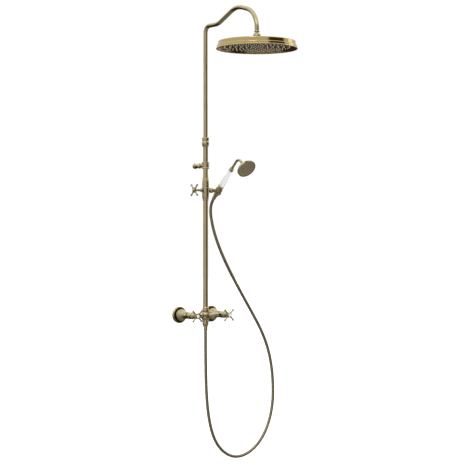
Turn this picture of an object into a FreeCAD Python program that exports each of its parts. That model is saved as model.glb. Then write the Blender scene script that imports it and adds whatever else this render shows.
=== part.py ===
"""Exposed shower column in brass: a two-handle wall mixer with a diverter, a telescopic riser with a
swan-neck arm and a rain head, and a hand shower on a sliding holder with its metal hose.

The origin lies on the wall plane, midway between the two water inlets. +Z is up, the wall is Y = 0
and the column stands in front of it at negative Y. The hot side is at negative X.
"""
import FreeCAD, Part
import math
import os

import Sketcher
from FreeCAD import Placement, Rotation, Vector

SIZES = {
    # wall connections
    "inlet_spacing": 150,
    "inlet_thread_radius": 10.45,
    "inlet_thread_depth": 18,
    "inlet_bore_radius": 6,
    "connector_length": 56,
    "washer_thickness": 2,
    "washer_radius": 9.8,
    "rosette_radius": 32,
    "union_nut_radius": 14.5,
    # mixer
    "column_out": 72,
    "valve_radius": 13,
    "valve_face_out": 92,
    "valve_bore_radius": 8.8,
    "bar_radius": 9.5,
    "bar_bore_radius": 5,
    "spindle_radius": 3.4,
    "handle_back_out": 111,
    "handle_arm_length": 27,
    "handle_arm_radius": 3,
    "index_radius": 6.4,
    "diverter_face_out": 94,
    "diverter_knob_radius": 10.5,
    # riser
    "riser_foot": 24,
    "riser_radius": 10,
    "riser_wall": 1.2,
    "collar_foot": 647,
    "arm_radius": 8.5,
    "arm_bore_radius": 6.5,
    "arm_foot": 560,
    "arm_height": 1110,
    "arm_reach": 320.5,
    "arm_end_height": 1060,
    "running_gap": 0.05,
    # rain head
    "head_base": 989,
    "head_radius": 150,
    "head_skirt_radius": 143.3,
    "ball_height": 48,
    "ball_radius": 9,
    "socket_radius": 11.6,
    "nozzle_pitch": 20,
    "nozzle_radius": 2.2,
    # wall bracket
    "bracket_height": 575,
    "bracket_thread_radius": 3.4,
    # slider and holder
    "slider_height": 480,
    "slider_radius": 14,
    "liner_radius": 11.6,
    "clamp_out": 53,
    "holder_out": 62,
    "holder_radius": 14,
    # hand shower
    "hand_neck_radius": 5,
    "rose_radius": 37.5,
    "rose_nozzle_pitch": 9,
    # hose
    "cone_nut_length": 32,
    "hose_radius": 6,
    "hose_bore_radius": 5,
}

HANDLE_LEAN = 46.6  # degrees that the hand shower leans out from the vertical
ROSE_LEAN = 129.7  # degrees from straight up to the way the hand shower's rose faces
HEAD_RINGS = 6
ROSE_RINGS = 3
HEAD_SCREWS = 8
X_AXIS = Vector(1, 0, 0)
Y_AXIS = Vector(0, 1, 0)
Z_AXIS = Vector(0, 0, 1)
# a turned piece lies along its own Z axis, and these lay that axis along the named direction
UP = Rotation()
OUT = Rotation(X_AXIS, 90)
RIGHT = Rotation(Y_AXIS, 90)
LEFT = Rotation(Y_AXIS, -90)
HALF_TURN = Rotation(Z_AXIS, 180)
ALONG_HANDLE = Rotation(X_AXIS, HANDLE_LEAN)
ALONG_ROSE = Rotation(X_AXIS, ROSE_LEAN)
ACROSS_HANDLE = Rotation(X_AXIS, HANDLE_LEAN + 90)

doc = FreeCAD.newDocument("shower_column")
nodes = {}


class Size:
    """A length in millimetres together with the sheet expression that drives it."""

    def __init__(self, value, text):
        self.value = float(value)
        self.text = text

    def __add__(self, other):
        return Size(self.value + number(other), f"({self.text} + {text_of(other)})")

    def __radd__(self, other):
        return self + other

    def __sub__(self, other):
        return Size(self.value - number(other), f"({self.text} - {text_of(other)})")

    def __rsub__(self, other):
        return Size(number(other) - self.value, f"({text_of(other)} - {self.text})")

    def __mul__(self, other):
        return Size(self.value * number(other), f"({self.text} * {text_of(other)})")

    def __rmul__(self, other):
        return self * other

    def __truediv__(self, other):
        return Size(self.value / number(other), f"({self.text} / {text_of(other)})")

    def __neg__(self):
        return Size(-self.value, f"(0 - {self.text})")


def number(length):
    return length.value if isinstance(length, Size) else float(length)


def text_of(length):
    return length.text if isinstance(length, Size) else f"({float(length)})"


class Sheet:
    """The driving dimensions, in a spreadsheet whose cells are read by their aliases."""

    def __init__(self, sizes):
        self.cells = doc.addObject("Spreadsheet::Sheet", "Sizes")
        for row, (alias, value) in enumerate(sizes.items(), 1):
            self.cells.set(f"A{row}", alias)
            self.cells.set(f"B{row}", str(value))
            self.cells.setAlias(f"B{row}", alias)
        doc.recompute()

    def __getattr__(self, alias):
        return Size(getattr(self.cells, alias), f"Sizes.{alias}")


size = Sheet(SIZES)


class Arc:
    """A step of an outline: a round stretch to (radius, height) with the radius of its curve.

    The curve's centre is on the left of the way from the last point to this one, or on the right.
    """

    def __init__(self, across, height, radius, centre="left"):
        self.point = (across, height)
        self.radius = radius
        self.side = 1 if centre == "left" else -1


def dome(across, height, rise):
    """A rounded end: from a point at (across, height - rise) up to the axis at height."""
    radius = (across * across + rise**2) / (2 * rise)
    return Arc(0, height, radius)


def bind(thing, field, length):
    if isinstance(length, Size):
        thing.setExpression(field, length.text)
    else:
        setattr(thing, field, length)


def place(thing, at, turn):
    thing.Placement = Placement(Vector(*[number(c) for c in at]), turn)
    for axis, length in zip("xyz", at):
        if isinstance(length, Size):
            thing.setExpression(f"Placement.Base.{axis}", length.text)


def arc_between(start, end, radius, side):
    """The circular arc from start to end, as a sketch element that runs anticlockwise."""
    chord = end - start
    rise = math.sqrt(radius**2 - (chord.Length / 2) ** 2)
    normal = Vector(-chord.y, chord.x, 0).normalize()
    centre = (start + end) / 2 + normal * (side * rise)
    first, last = (start, end) if side > 0 else (end, start)
    angles = [math.atan2(p.y - centre.y, p.x - centre.x) for p in (first, last)]
    return Part.ArcOfCircle(Part.Circle(centre, Z_AXIS, radius), *angles)


def draw(sketch, outline):
    """Draw a closed outline of (across, up) points and Arc steps, with every point held."""
    points = [step.point if isinstance(step, Arc) else step for step in outline]
    places = [Vector(number(a), number(b), 0) for a, b in points]
    elements = []
    ends = []
    rules = []
    bound = []
    for k in range(len(outline)):
        after = (k + 1) % len(outline)
        step = outline[after]
        if isinstance(step, Arc):
            curve = arc_between(places[k], places[after], number(step.radius), step.side)
            elements.append(curve)
            ends.append((1, 2) if step.side > 0 else (2, 1))
        else:
            elements.append(Part.LineSegment(places[k], places[after]))
            ends.append((1, 2))
    sketch.addGeometry(elements, False)

    def rule(length, *constraint):
        made = Sketcher.Constraint(*constraint, number(length))
        if isinstance(length, Size):
            made.Name = f"length_{len(bound)}"
            bound.append((made.Name, length.text))
        rules.append(made)

    for k, (across, up) in enumerate(points):
        after = (k + 1) % len(points)
        rules.append(Sketcher.Constraint("Coincident", k, ends[k][1], after, ends[after][0]))
        corner = (k, ends[k][0])
        if places[k].x:
            rule(across, "DistanceX", -1, 1, *corner)
        else:
            rules.append(Sketcher.Constraint("PointOnObject", *corner, -2))
        if places[k].y:
            rule(up, "DistanceY", -1, 1, *corner)
        else:
            rules.append(Sketcher.Constraint("PointOnObject", *corner, -1))
    for k, step in enumerate(outline):
        if isinstance(step, Arc):
            rule(step.radius, "Radius", (k - 1) % len(outline))
    sketch.addConstraint(rules)
    for name, text in bound:
        sketch.setExpression(f"Constraints.{name}", text)


def turned(name, outline, at=(0, 0, 0), turn=UP):
    """A body turned about its own Z axis from an outline of (radius, height) points."""
    body = doc.addObject("PartDesign::Body", name + "_turned")
    sketch = body.newObject("Sketcher::SketchObject", name + "_outline")
    plane = [f for f in body.Origin.OriginFeatures if f.Role == "XZ_Plane"][0]
    sketch.AttachmentSupport = (plane, [""])
    sketch.MapMode = "FlatFace"
    draw(sketch, outline)
    revolution = body.newObject("PartDesign::Revolution", name + "_revolution")
    revolution.Profile = sketch
    revolution.ReferenceAxis = (sketch, ["V_Axis"])
    revolution.Angle = 360
    body.Tip = revolution
    place(body, at, turn)
    return body


def rod(name, radius, length, at, turn=UP):
    cylinder = doc.addObject("Part::Cylinder", name)
    bind(cylinder, "Radius", radius)
    bind(cylinder, "Height", length)
    place(cylinder, at, turn)
    return cylinder


def block(name, length, width, height, at, turn=UP):
    box = doc.addObject("Part::Box", name)
    bind(box, "Length", length)
    bind(box, "Width", width)
    bind(box, "Height", height)
    place(box, at, turn)
    return box


def fused(name, *pieces):
    fusion = doc.addObject("Part::MultiFuse", name)
    fusion.Shapes = list(pieces)
    fusion.Refine = True
    return fusion


def common(name, *pieces):
    shared = doc.addObject("Part::MultiCommon", name)
    shared.Shapes = list(pieces)
    return shared


def cut(name, base, *tools):
    result = doc.addObject("Part::Cut", name)
    result.Base = base
    result.Tool = tools[0] if len(tools) == 1 else fused(name + "_tools", *tools)
    return result


def group(name, *pieces):
    compound = doc.addObject("Part::Compound", name)
    compound.Links = list(pieces)
    return compound


def fixed_shape(name, shape):
    feature = doc.addObject("Part::Feature", name)
    feature.Shape = shape
    return feature


def node(name, thing):
    """Name a finished sub-part, which is then written to a file of that name."""
    thing.Label = name
    nodes[name] = thing
    return thing


def hexagon(name, radius, foot, top, at, turn, chamfer=1.2):
    """A six-sided nut blank from foot to top along its axis, with its corners turned off."""
    prism = doc.addObject("Part::Prism", name + "_prism")
    prism.Polygon = 6
    bind(prism, "Circumradius", radius)
    bind(prism, "Height", top - foot)
    direction = turn.multVec(Z_AXIS)
    base = [c + foot * round(d, 9) if d else c for c, d in zip(at, direction)]
    place(prism, base, turn)
    faces = [
        (0, foot),
        (radius - chamfer, foot),
        (radius, foot + chamfer),
        (radius, top - chamfer),
        (radius - chamfer, top),
        (0, top),
    ]
    return common(name + "_blank", prism, turned(name + "_corners", faces, at, turn))


def rounded_wire(corners, radii):
    """A wire of straight runs through the corners, joined by tangent arcs of the given radii."""
    edges = []
    last = corners[0]
    for k, radius in enumerate(radii, 1):
        back = (corners[k - 1] - corners[k]).normalize()
        on = (corners[k + 1] - corners[k]).normalize()
        half_turn = (math.pi - back.getAngle(on)) / 2
        reach = radius * math.tan(half_turn)
        start = corners[k] + back * reach
        end = corners[k] + on * reach
        inward = (back + on).normalize()
        middle = corners[k] + inward * (radius / math.cos(half_turn) - radius)
        edges.append(Part.LineSegment(last, start).toShape())
        edges.append(Part.Arc(start, middle, end).toShape())
        last = end
    edges.append(Part.LineSegment(last, corners[-1]).toShape())
    return Part.Wire(edges)


def swept(name, path, radius, at, turn):
    """A round bar of the given radius that follows a wire from its first point."""
    section = doc.addObject("Part::Circle", name + "_section")
    bind(section, "Radius", radius)
    place(section, at, turn)
    sweep = doc.addObject("Part::Sweep", name + "_sweep")
    sweep.Sections = [section]
    sweep.Spine = (path, [f"Edge{k + 1}" for k in range(len(path.Shape.Edges))])
    sweep.Solid = True
    sweep.Frenet = False
    return sweep


def swept_tube(name, path, outer, inner, at, turn):
    return cut(
        name,
        swept(name + "_outer", path, outer, at, turn),
        swept(name + "_inner", path, inner, at, turn),
    )


def ring_places(rings, pitch):
    """Places in rings about a centre one, with six more places in each ring than in the last."""
    places = [Vector(0, 0, 0)]
    for ring in range(1, rings + 1):
        for k in range(6 * ring):
            angle = 2 * math.pi * (k + ring % 2 / 2) / (6 * ring)
            places.append(Vector(math.cos(angle), math.sin(angle), 0) * (ring * pitch))
    return places


# ---------------------------------------------------------------- wall connections


def wall_connections():
    half = size.inlet_spacing / 2
    thread = size.inlet_thread_radius
    bore = size.inlet_bore_radius
    end = size.connector_length
    connectors = []
    nuts = []
    for side, x in (("hot", -half), ("cold", half)):
        at = (x, 0, 0)
        body = [
            (bore, -size.inlet_thread_depth),
            (thread, -size.inlet_thread_depth),
            (thread, 0),
            (thread - 0.3, 0),
            (thread - 0.3, 22),
            (thread + 2.2, 22),
            (thread + 2.2, 28),
            (thread, 28),
            (thread, end),
            (bore, end),
        ]
        connectors.append(turned("connector_" + side, body, at, OUT))
        rosette(side, at)
        blank = hexagon("union_" + side, size.union_nut_radius, 47, 64, at, OUT)
        threaded = rod("union_thread_" + side, thread + 0.1, 14, (x, -46.5, 0), OUT)
        tail_hole = rod("union_hole_" + side, 8.6, 20, (x, -46.5, 0), OUT)
        nuts.append(cut("union_nut_" + side, blank, threaded, tail_hole))
    node("wall_connectors", group("connector_pair", *connectors))
    node("union_nuts", group("union_nut_pair", *nuts))


def rosette(side, at):
    """The bell that covers an inlet: a rounded flange, a deep groove and a cup that narrows outwards."""
    edge = size.rosette_radius
    outline = [
        (edge - 3, 0),
        (edge - 0.8, 0),
        (edge, 1),
        (edge, 6),
        Arc(edge - 3.5, 9.5, 3.5),
        (edge - 4.8, 9.5),
        (edge - 5.6, 5),
        (22.8, 5),
        (22.8, 11),
        Arc(22, 19, 26, "left"),
        Arc(22, 22.4, 1.9, "left"),
        (20.6, 23),
        Arc(16.6, 32, 18, "left"),
        Arc(13, 42, 22, "right"),
        (13, 43),
        Arc(13, 46, 1.6, "left"),
        (11, 46),
        (11, 42),
        Arc(14.6, 31, 22, "left"),
        (18.6, 22),
        (20.6, 12),
        (20.6, 2.6),
        (edge - 3.4, 2.6),
    ]
    node("rosette_" + side, turned("bell_" + side, outline, at, OUT))


def washer(name, foot, at, turn):
    outer = size.washer_radius
    outline = [
        (size.inlet_bore_radius, foot),
        (outer, foot),
        (outer, foot + size.washer_thickness),
        (size.inlet_bore_radius, foot + size.washer_thickness),
    ]
    return turned(name, outline, at, turn)


def washers():
    """The four identical fibre washers: both inlets, the riser's foot and the hose outlet."""
    half = size.inlet_spacing / 2
    column = (0, -size.column_out, 0)
    node(
        "fibre_washers",
        group(
            "washer_set",
            washer("washer_hot", size.connector_length, (-half, 0, 0), OUT),
            washer("washer_cold", size.connector_length, (half, 0, 0), OUT),
            washer("washer_riser", size.riser_foot - size.washer_thickness, column, UP),
            washer("washer_hose", -36, column, UP),
        ),
    )


# ---------------------------------------------------------------- mixer


def mixer_body():
    """The casting: two valve bodies, the bar between them and the upright urn under the riser."""
    half = size.inlet_spacing / 2
    out = size.column_out
    tail = size.connector_length + size.washer_thickness
    face = size.valve_face_out
    wide = size.valve_radius
    valve = [
        (0, tail),
        (size.washer_radius + 0.3, tail),
        (size.washer_radius + 0.3, tail + 2.5),
        (8.4, tail + 2.5),
        (8.4, 65),
        (10.8, 65.5),
        Arc(wide, 70, 7, "left"),
        Arc(wide, 77, 10, "left"),
        Arc(11.6, 82, 9, "left"),
        (wide + 0.4, 83),
        (wide + 0.4, face - 0.8),
        (wide - 0.4, face),
        (0, face),
    ]
    bar = [
        (0, half - 8),
        (7, half - 8),
        (7, half - 17),
        Arc(10.6, half - 20, 3, "right"),
        Arc(size.bar_radius - 1.5, half - 24, 5, "left"),
        Arc(size.bar_radius + 1, 28, 60, "left"),
        (size.bar_radius + 2.6, 26),
        Arc(size.bar_radius + 2.6, 22, 2.2, "left"),
        (size.bar_radius, 20),
        (size.bar_radius, 0),
        (0, 0),
    ]
    urn = [
        (0, -34),
        (size.inlet_thread_radius, -34),
        (size.inlet_thread_radius, -27),
        (13.6, -26),
        (13.6, -23.5),
        Arc(12, -19, 4.5, "right"),
        Arc(17, -6, 16, "left"),
        Arc(17, 6, 18, "left"),
        Arc(12.4, 12, 10, "left"),
        (12.4, 13.5),
        (size.inlet_thread_radius, 13.5),
        (size.inlet_thread_radius, size.riser_foot - size.washer_thickness),
        (0, size.riser_foot - size.washer_thickness),
    ]
    boss = [
        (0, out),
        (11, out),
        (11, size.diverter_face_out - 6),
        Arc(12.4, size.diverter_face_out - 3, 3, "right"),
        (12.4, size.diverter_face_out - 0.8),
        (11.6, size.diverter_face_out),
        (0, size.diverter_face_out),
    ]
    column = (0, -out, 0)
    solid = fused(
        "mixer_casting",
        turned("valve_hot", valve, (-half, 0, 0), OUT.multiply(HALF_TURN)),
        turned("valve_cold", valve, (half, 0, 0), OUT),
        turned("bar_cold", bar, column, RIGHT),
        turned("bar_hot", bar, column, LEFT),
        turned("urn", urn, column, UP),
        turned("diverter_boss", boss, (0, 0, 0), OUT),
    )
    tools = [
        rod("bar_bore", size.bar_bore_radius, half * 2, (-half, -out, 0), RIGHT),
        rod("column_bore", size.inlet_bore_radius, 70, (0, -out, -40), UP),
        rod("diverter_bore", 7.2, 40, (0, 31 - size.diverter_face_out, 0), OUT),
    ]
    for side, x in (("hot", -half), ("cold", half)):
        chamber = (x, -size.valve_face_out + 26, 0)
        tools.append(rod("chamber_" + side, size.valve_bore_radius, 30, chamber, OUT))
        tools.append(rod("tail_bore_" + side, 5.5, 20, (x, -tail + 1, 0), OUT))
    node("mixer_body", cut("mixer_bored", solid, *tools))


def valve_insides():
    """The ceramic headworks that screw into the valve bodies, and the covers over them."""
    half = size.inlet_spacing / 2
    face = size.valve_face_out
    spindle_hole = size.spindle_radius + 0.1
    housing = [
        (6.6, 70),
        (7.5, 70),
        (7.5, 80),
        (size.valve_bore_radius - 0.1, 80),
        (size.valve_bore_radius - 0.1, face + 0.1),
        (10.4, face + 0.1),
        (10.4, face + 3.4),
        (6.4, face + 3.4),
        (6.4, face + 10),
        (spindle_hole, face + 10),
        (spindle_hole, 80),
        (6.6, 80),
    ]
    disc = [(1, 70.2), (6.5, 70.2), (6.5, 73), (1, 73)]
    cover = [
        (10.8, face + 0.1),
        (size.valve_radius + 0.2, face + 0.1),
        (size.valve_radius + 0.2, face + 3),
        Arc(10.6, face + 5.5, 3, "right"),
        Arc(11.4, face + 9, 3, "left"),
        Arc(9, face + 13, 5, "right"),
        (9, face + 16.5),
        Arc(7.8, face + 18, 1.6, "left"),
        (spindle_hole + 0.6, face + 18),
        (spindle_hole + 0.6, face + 11),
        (7, face + 11),
        (7, face + 4.2),
        (10.8, face + 3.8),
    ]
    housings = []
    discs = []
    for side, x in (("hot", -half), ("cold", half)):
        at = (x, 0, 0)
        housings.append(turned("headwork_" + side, housing, at, OUT))
        discs.append(turned("disc_" + side, disc, at, OUT))
        node("bonnet_" + side, turned("cover_" + side, cover, at, OUT))
    node("headworks", group("headwork_pair", *housings))
    node("ceramic_discs", group("disc_pair", *discs))


def cross_handle(name, hub, at, arms_at, turn, bores):
    """A hub with four round arms at 45 degrees, each ending in a small ball."""
    length = size.handle_arm_length
    thick = size.handle_arm_radius
    ball = 4.2
    arm = [
        (0, 0),
        (thick + 0.5, 0),
        (thick + 0.5, 8.5),
        (thick + 1.2, 9.5),
        Arc(thick + 1.2, 11.5, 1.1, "left"),
        (thick - 0.4, 12.5),
        (thick, length - math.sqrt(ball**2 - thick.value**2)),
        Arc(ball, length, ball),
        Arc(0, length + ball, ball),
    ]
    pieces = [turned(name + "_hub", hub, at, turn)]
    for k in range(4):
        angle = math.radians(45 + 90 * k)
        outward = Rotation(Z_AXIS, Vector(math.cos(angle), math.sin(angle), 0))
        pieces.append(turned(f"{name}_arm_{k + 1}", arm, arms_at, turn.multiply(outward)))
    return cut(name, fused(name + "_solid", *pieces), *bores)


def valve_handles():
    half = size.inlet_spacing / 2
    back = size.handle_back_out
    stem = size.spindle_radius
    spindle = [
        (0, 73.2),
        (6.3, 73.2),
        (6.3, 76),
        (stem, 76),
        (stem, back + 7.5),
        (1.7, back + 7.5),
        (1.7, back - 2),
        (0, back - 2),
    ]
    hub = [
        (0, back),
        (7.4, back),
        (7.9, back + 1),
        Arc(5.8, back + 4, 3.6, "right"),
        Arc(9.2, back + 8, 5, "right"),
        (9.8, back + 9.5),
        (9.8, back + 14.5),
        Arc(8.4, back + 17, 2.6, "left"),
        (0, back + 17),
    ]
    screw = [
        (0, back - 1.5),
        (1.6, back - 1.5),
        (1.6, back + 8.7),
        (3.4, back + 8.7),
        (3.4, back + 11.2),
        (1.3, back + 11.2),
        (1.3, back + 9.8),
        (0, back + 9.8),
    ]
    index = size.index_radius
    button = [
        (0, back + 13.6),
        (index, back + 13.6),
        (index, back + 17),
        Arc(index - 1.2, back + 18.2, 1.25, "left"),
        dome(index - 1.2, back + 19.4, 1.2),
    ]
    for side, x in (("hot", -half), ("cold", half)):
        at = (x, 0, 0)
        middle = back + 12
        bores = (
            rod("spindle_hole_" + side, stem + 0.05, 8.6, (x, 1 - back, 0), OUT),
            rod("screw_hole_" + side, 1.75, 16, (x, -back, 0), OUT),
            rod("index_hole_" + side, index + 0.1, 5, (x, -back - 13.5, 0), OUT),
            rod("head_hole_" + side, 3.8, 6, (x, -back - 8.6, 0), OUT),
        )
        handle = cross_handle("cross_" + side, hub, at, (x, -middle, 0), OUT, bores)
        node("cross_handle_" + side, handle)
        node("spindle_" + side, turned("valve_stem_" + side, spindle, at, OUT))
        node("handle_screw_" + side, turned("screw_" + side, screw, at, OUT))
        node("handle_index_" + side, turned("button_" + side, button, at, OUT))


def diverter():
    """The turning diverter at the mixer's front, which sends water up the riser or to the hose."""
    face = size.diverter_face_out
    housing = [
        (5.2, 65),
        (7, 65),
        (7, face + 0.1),
        (9.5, face + 0.1),
        (9.5, face + 3),
        (5.6, face + 3),
        (5.6, face + 5),
        (3.1, face + 5),
        (3.1, 84),
        (5.2, 84),
    ]
    stem = [
        (0, 66),
        (5, 66),
        (5, 80),
        (3, 80),
        (3, face + 16),
        (0, face + 16),
    ]
    wide = size.diverter_knob_radius
    knob = [
        (0, face + 7),
        (7, face + 7),
        Arc(wide, face + 11, 5, "right"),
        (wide, face + 16),
        Arc(6.5, face + 20, 4.4, "left"),
        dome(6.5, face + 22.5, 2.5),
    ]
    flutes = []
    for k in range(10):
        angle = math.radians(36 * k)
        x = (wide + 1.2) * math.sin(angle)
        z = (wide + 1.2) * math.cos(angle)
        flutes.append(rod(f"flute_{k + 1}", 2, 12, (x, -face - 6, z), OUT))
    socket = rod("knob_socket", 3.05, 10, (0, -face - 6.5, 0), OUT)
    at = (0, 0, 0)
    node("diverter_cartridge", turned("diverter_housing", housing, at, OUT))
    node("diverter_spindle", turned("diverter_stem", stem, at, OUT))
    shape = cut("knob_fluted", turned("knob", knob, at, OUT), *flutes, socket)
    node("diverter_knob", shape)


# ---------------------------------------------------------------- riser and arm


def riser():
    column = (0, -size.column_out, 0)
    wide = size.riser_radius
    inner = size.riser_radius - size.riser_wall
    foot = size.riser_foot
    tube = [
        (size.inlet_bore_radius + 1, foot),
        (wide + 0.35, foot),
        (wide + 0.35, foot + 2),
        (wide, foot + 2),
        (wide, size.collar_foot + 16),
        (inner, size.collar_foot + 16),
        (inner, foot + 4),
        (size.inlet_bore_radius + 1, foot + 4),
    ]
    nut = [
        (size.inlet_thread_radius + 0.1, 14),
        (12.2, 14),
        (12.8, 15),
        (12.8, 22),
        (12.2, 23),
        (12.2, 26),
        Arc(11.6, 29.4, 4, "left"),
        (11, 31),
        (wide + 0.1, 31),
        (wide + 0.1, foot + 2.2),
        (size.inlet_thread_radius + 0.1, foot + 2.2),
    ]
    node("lower_riser", turned("riser_tube", tube, column))
    node("riser_nut", turned("riser_union", nut, column))


def height_collar():
    """The gland nut at the top of the lower tube: it seals and guides the upper tube."""
    column = (0, -size.column_out, 0)
    base = size.collar_foot
    arm = size.arm_radius
    shell = [
        (size.riser_radius + 0.1, base),
        (size.riser_radius + 1, base),
        (12.2, base + 4),
        Arc(14.3, base + 13, 16, "left"),
        Arc(12.6, base + 21, 12, "left"),
        (12.2, base + 23.5),
        (14, base + 25),
        (14, base + 33),
        Arc(11.2, base + 37, 4.4, "left"),
        (arm + 0.5, base + 38),
        (arm + 0.5, base + 25),
        (11, base + 25),
        (11, base + 17),
        (size.riser_radius + 0.1, base + 17),
    ]
    seal = [
        (arm + size.running_gap, base + 17.2),
        (10.9, base + 17.2),
        (10.9, base + 24.8),
        (arm + size.running_gap, base + 24.8),
    ]
    screw = [(0, 9.3), (1.9, 9.3), (1.9, 13.6), (0, 13.6)]
    screw_at = (0, -size.column_out, base + 29)
    toward_wall = Rotation(X_AXIS, -90)
    hole = rod("lock_hole", 2, 10, (0, 8 - size.column_out, base + 29), toward_wall)
    node("height_collar", cut("collar_drilled", turned("collar", shell, column), hole))
    node("gland_seal", turned("gland_ring", seal, column))
    node("height_lock_screw", turned("grub_screw", screw, screw_at, toward_wall))


def arm_path():
    """The middle line of the bent tube: up the column, out, and over to the head's centre."""
    y = -size.column_out.value
    top = size.arm_height.value
    reach = size.arm_reach.value
    corners = [
        Vector(0, y, size.arm_foot.value + 25),
        Vector(0, y, top),
        Vector(0, y - 82, top),
        Vector(0, y - 197, top + 53),
        Vector(0, y - reach, top + 19),
        Vector(0, y - reach, size.arm_end_height.value),
    ]
    return fixed_shape("arm_line", rounded_wire(corners, [25, 80, 100, 82]))


def shower_arm():
    column = (0, -size.column_out, 0)
    wide = size.arm_radius
    bore = size.arm_bore_radius
    foot = size.arm_foot
    neck = 7.3
    path = arm_path()
    start = (0, -size.column_out, foot + 25)
    foot_outline = [
        (bore - 0.4, foot),
        (8.3, foot),
        (8.3, foot + 4),
        (neck, foot + 4),
        (neck, foot + 20),
        (wide, foot + 20),
        (wide, foot + 25),
        (bore, foot + 25),
        (bore, foot + 22),
        (bore - 0.4, foot + 21),
    ]
    tube = swept_tube("arm_bend", path, wide, bore, start, UP)
    node("upper_riser", fused("arm_tube", tube, turned("arm_foot", foot_outline, column)))
    bush_outer = size.riser_radius - size.riser_wall - size.running_gap
    bush = [
        (neck + 0.05, foot + 4.3),
        (bush_outer, foot + 4.3),
        (bush_outer, foot + 19.7),
        (neck + 0.05, foot + 19.7),
    ]
    node("guide_bush", turned("nylon_bush", bush, column))


# ---------------------------------------------------------------- rain head


def head_place(height=0):
    return (0, -size.column_out - size.arm_reach, size.head_base + height)


def ball_joint():
    """The ball on the arm's end, the nylon seat over it, and the socket and nut that hold both."""
    centre = size.ball_height
    ball = size.ball_radius
    cup = size.socket_radius
    end = size.arm_end_height - size.head_base
    bore = 2.5
    stem = 4.3
    foot = math.sqrt(ball.value**2 - bore**2)
    rise = math.sqrt(ball.value**2 - stem**2)
    stud = [
        (bore, centre - foot),
        Arc(ball, centre, ball, "left"),
        Arc(stem, centre + rise, ball, "left"),
        (stem, end - 9),
        (8.6, end - 9),
        (9.6, end - 8),
        Arc(9.6, end - 4, 3.4, "left"),
        (size.arm_radius, end - 3),
        (size.arm_radius, end),
        (size.arm_bore_radius - 0.1, end),
        (size.arm_bore_radius - 0.1, end + 6),
        (bore, end + 6),
    ]
    inner = ball + 0.3
    outer = cup - 0.3
    hole = 6.4
    drop = 3
    seat = [
        Arc(math.sqrt(inner.value**2 - drop**2), centre - drop, inner, "right"),
        (math.sqrt(outer.value**2 - drop**2), centre - drop),
        Arc(outer, centre, outer, "left"),
        Arc(hole, centre + math.sqrt(outer.value**2 - hole**2), outer, "left"),
        (hole, centre + math.sqrt(inner.value**2 - hole**2)),
        Arc(inner, centre, inner, "right"),
    ]
    water = 4
    socket = [
        (water, 30),
        (14.3, 30),
        (14.3, 36.9),
        (17.5, 36.9),
        (17.5, 39.2),
        Arc(14.5, 41.5, 3.2, "right"),
        (13, 41.5),
        (13, centre),
        (cup, centre),
        Arc(water, centre - math.sqrt(cup.value**2 - water**2), cup, "right"),
    ]
    opening = 7.2
    nut = [
        (13.1, 42.2),
        (14.6, 42.2),
        (15.1, 43),
        (15.1, 50),
        Arc(13, 55, 6, "left"),
        Arc(10, 59, 6, "right"),
        (opening, 59),
        (opening, centre + math.sqrt(cup.value**2 - opening**2)),
        Arc(cup, centre + 0.05, cup, "right"),
        (13.1, centre + 0.05),
    ]
    at = head_place()
    node("ball_stud", turned("ball", stud, at))
    node("ball_seat", turned("seat", seat, at))
    node("head_socket", turned("socket", socket, at))
    node("ball_nut", turned("nut", nut, at))


def rain_head():
    at = head_place()
    skirt = size.head_skirt_radius
    rim_edge = size.head_radius
    shell = [
        (14.5, 34.6),
        (22, 34.6),
        Arc(skirt - 3.4, 26, 640, "left"),
        (skirt - 2.3, 24.5),
        (skirt - 2.3, 15),
        (129, 15),
        (129, 12.3),
        (skirt - 2.3, 12.3),
        (skirt - 2.3, 8),
        (skirt, 8),
        (skirt, 25.5),
        Arc(skirt - 3, 28.4, 3.1, "left"),
        Arc(24, 36.8, 640, "right"),
        (14.5, 36.8),
    ]
    rim = [
        (skirt + 2.4, 0.6),
        (skirt + 3, 0),
        (rim_edge - 0.6, 0),
        (rim_edge, 0.6),
        (rim_edge, 1.8),
        Arc(rim_edge - 1.9, 4, 2.6, "right"),
        (rim_edge - 1.9, 11),
        Arc(rim_edge - 4, 13.2, 2.2, "left"),
        (skirt + 0.1, 13.2),
        (skirt + 0.1, 7.9),
        (138, 7.9),
        (138, 5.9),
        (skirt + 2.4, 5.9),
    ]
    node("head_shell", drilled_for_screws("shell", turned("dome", shell, at), 1.55))
    node("head_rim", turned("rim", rim, at))
    plate = [(0, 8), (skirt - 2.6, 8), (skirt - 2.6, 10.4), (0, 10.4)]
    mat = [(0, 10.6), (skirt - 4, 10.6), (skirt - 4, 12.1), (0, 12.1)]
    places = ring_places(HEAD_RINGS, size.nozzle_pitch.value)
    radius = size.nozzle_radius.value
    holes = fixed_shape("nozzle_holes", nozzle_holes(places, radius + 0.15, 7, 4))
    holes.Placement = turned_place(at, UP)
    nubs = fixed_shape("nozzle_nubs", nozzle_nubs(places, radius, 5.4, 11))
    nubs.Placement = turned_place(at, UP)
    blank = drilled_for_screws("plate", turned("plate", plate, at), 1.7)
    node("nozzle_plate", cut("plate_pierced", blank, holes))
    sheet = drilled_for_screws("mat", turned("mat", mat, at), 1.7)
    node("nozzle_mat", fused("mat_with_nozzles", sheet, nubs))
    head_screws(at)


def turned_place(at, turn):
    return Placement(Vector(*[number(c) for c in at]), turn)


def screw_places():
    """The screws' places round the head's edge, on a circle inside its ledge."""
    for k in range(HEAD_SCREWS):
        angle = 2 * math.pi * (k + 0.5) / HEAD_SCREWS
        yield k + 1, 133.5 * math.cos(angle), 133.5 * math.sin(angle)


def drilled_for_screws(name, base, radius):
    x, y, z = head_place()
    drills = []
    for k, dx, dy in screw_places():
        drills.append(rod(f"{name}_drill_{k}", radius, 12, (x + dx, y + dy, z + 6.5)))
    return cut(name + "_drilled", base, group(name + "_drills", *drills))


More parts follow.
